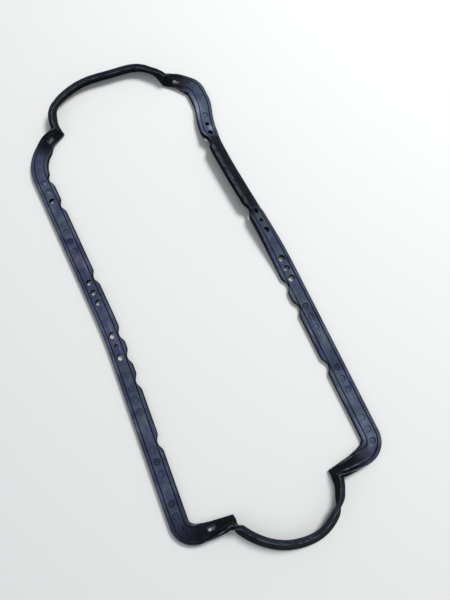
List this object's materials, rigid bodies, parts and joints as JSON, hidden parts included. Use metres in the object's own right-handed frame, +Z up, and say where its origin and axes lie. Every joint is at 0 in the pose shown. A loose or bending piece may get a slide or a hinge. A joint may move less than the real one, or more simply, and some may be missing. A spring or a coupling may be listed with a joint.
{
  "type": "oil pan gasket",
  "caption": "One-piece moulded rubber oil pan gasket: two flat rails joined by two arches, lying loose with one rail twisted.",
  "frame": {"origin": "on the table, under the middle of the gasket's outline", "axes": "+Y along the rails towards the wider, flatter arch, +X across towards the rail with the twisted stretch, +Z up"},
  "size_m": [0.2092, 0.5274, 0.0146],
  "materials": {
    "rubber": "matt, slightly dusty"
  },
  "bodies": {
    "root": {"gasket": "rubber"}
  },
  "joints": []
}
